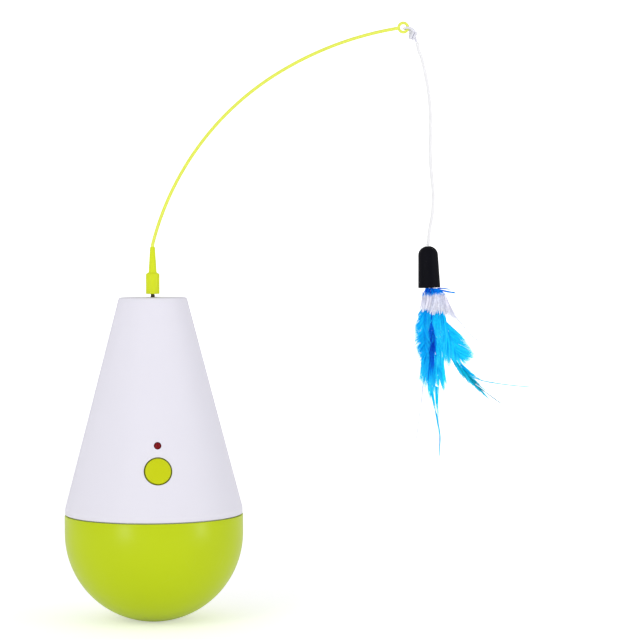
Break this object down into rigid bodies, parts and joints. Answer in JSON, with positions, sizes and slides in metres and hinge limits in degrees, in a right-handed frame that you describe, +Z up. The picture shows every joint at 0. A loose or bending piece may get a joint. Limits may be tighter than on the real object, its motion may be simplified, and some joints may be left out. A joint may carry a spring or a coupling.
{
  "type": "automatic cat feather toy",
  "caption": "Weighted tumbler body under a tapering cone, with a motor-turned bent wand that swings a feather lure on a cord.",
  "frame": {"origin": "centre of the small flat under the dome, on the toy's upright axis", "axes": "+Z up along the cone's axis, +X towards the wand's bend, -Y towards the button"},
  "size_m": [0.2583, 0.096, 0.3226],
  "materials": {
    "lime_gloss": "lime gloss plastic",
    "lime_button": "lime satin plastic",
    "lime_soft": "pale lime soft plastic",
    "casing_white": "cool white satin plastic",
    "led_red": "clear red epoxy, unlit",
    "inner_plastic": "grey moulded plastic",
    "gear_plastic": "natural acetal",
    "black_plastic": "black moulded plastic",
    "black_rubber": "black rubber, slightly glossy",
    "steel": "plain steel",
    "brass": "turned brass",
    "iron": "rough cast iron",
    "board_green": "green solder mask",
    "cell_label": "plain blue sleeve",
    "lead_red": "red insulation",
    "lead_black": "black insulation",
    "cord_white": "white woven cord",
    "feather_white": "white feather",
    "feather_blue": "bright blue dyed feather",
    "feather_navy": "dark blue dyed feather",
    "feather_cyan": "cyan dyed feather",
    "feather_teal": "deep blue dyed feather"
  },
  "bodies": {
    "base": {"base_shell": "lime_gloss", "ballast": "iron", "ballast_screw": "steel"},
    "casing": {"upper_casing": "casing_white", "top_bush": "brass", "chassis_plate": "inner_plastic", "gearbox_plate": "inner_plastic", "pcb": "board_green", "led": "led_red", "switch_housing": "black_plastic", "motor_can": "steel", "motor_end_cap": "black_plastic", "gear_axle_1": "steel", "gear_axle_2": "steel", "contact_plate_1": "steel", "contact_plate_2": "steel", "contact_plate_3": "steel", "contact_plate_4": "steel", "battery_cell_1": "cell_label", "battery_cell_2": "cell_label", "battery_cell_3": "cell_label", "battery_spring_1": "steel", "battery_spring_2": "steel", "battery_spring_3": "steel", "battery_lead_red": "lead_red", "battery_lead_black": "lead_black", "motor_lead_red": "lead_red", "motor_lead_black": "lead_black", "chassis_screw_1": "steel", "chassis_screw_2": "steel", "chassis_screw_3": "steel", "gearbox_screw_1": "steel", "gearbox_screw_2": "steel", "gearbox_screw_3": "steel", "gearbox_screw_4": "steel", "pcb_screw_1": "steel", "pcb_screw_2": "steel"},
    "button": {"power_button": "lime_button", "switch_plunger": "black_plastic"},
    "shaft": {"drive_shaft": "steel", "output_gear": "gear_plastic"},
    "gear_2": {"gear_2": "gear_plastic"},
    "gear_1": {"gear_1": "gear_plastic"},
    "rotor": {"motor_pinion": "brass", "motor_shaft": "steel"},
    "wand": {"wand_connector": "lime_soft", "wand_rod": "lime_soft"},
    "knot": {"string_knot": "cord_white"},
    "string": {"lure_string": "cord_white"},
    "lure": {"lure_cap": "black_rubber", "lure_plug": "black_plastic", "feather_1": "feather_navy", "feather_2": "feather_white", "feather_3": "feather_blue", "feather_4": "feather_navy", "feather_5": "feather_cyan", "feather_6": "feather_blue", "feather_7": "feather_teal", "feather_8": "feather_cyan", "feather_9": "feather_white"}
  },
  "joints": [
    {"name": "casing_twist", "type": "hinge", "parent": "base", "child": "casing", "pos_m": [0, 0, 0.05749], "axis": [0, 0, 1], "range_deg": [0, 20]},
    {"name": "power_button_press", "type": "slide", "parent": "casing", "child": "button", "axis": [0, 0.9679, -0.2514], "range_m": [0, 0.0008], "stiffness_N_per_m": 800},
    {"name": "shaft_spin", "type": "hinge", "parent": "casing", "child": "shaft", "pos_m": [0, 0, 0.17409], "axis": [0, 0, 1], "continuous": true},
    {"name": "gear_2_spin", "type": "hinge", "parent": "casing", "child": "gear_2", "pos_m": [0, 0.013, 0.06389], "axis": [0, 0, 1], "continuous": true},
    {"name": "gear_1_spin", "type": "hinge", "parent": "casing", "child": "gear_1", "pos_m": [-0.013, 0.013, 0.06699], "axis": [0, 0, 1], "continuous": true},
    {"name": "rotor_spin", "type": "hinge", "parent": "casing", "child": "rotor", "pos_m": [-0.013, 0, 0.07299], "axis": [0, 0, 1], "continuous": true},
    {"name": "wand_lift", "type": "slide", "parent": "shaft", "child": "wand", "axis": [0, 0, 1], "range_m": [0, 0.012]},
    {"name": "loop_swing", "type": "hinge", "parent": "wand", "child": "knot", "pos_m": [0.1366, 0, 0.3194], "axis": [0, -1, 0], "range_deg": [-12, 60]},
    {"name": "string_swing", "type": "hinge", "parent": "knot", "child": "string", "pos_m": [0.1443, 0, 0.3108], "axis": [1, 0, 0], "range_deg": [-45, 45]},
    {"name": "lure_sway", "type": "hinge", "parent": "string", "child": "lure", "pos_m": [0.1498, 0, 0.2011], "axis": [0, -1, 0], "range_deg": [-10, 45]}
  ],
  "couplings": [
    {"joint": "gear_2_spin", "follows": "shaft_spin", "ratio": -4.2},
    {"joint": "gear_1_spin", "follows": "shaft_spin", "ratio": 17.64},
    {"joint": "rotor_spin", "follows": "shaft_spin", "ratio": -74.088}
  ]
}
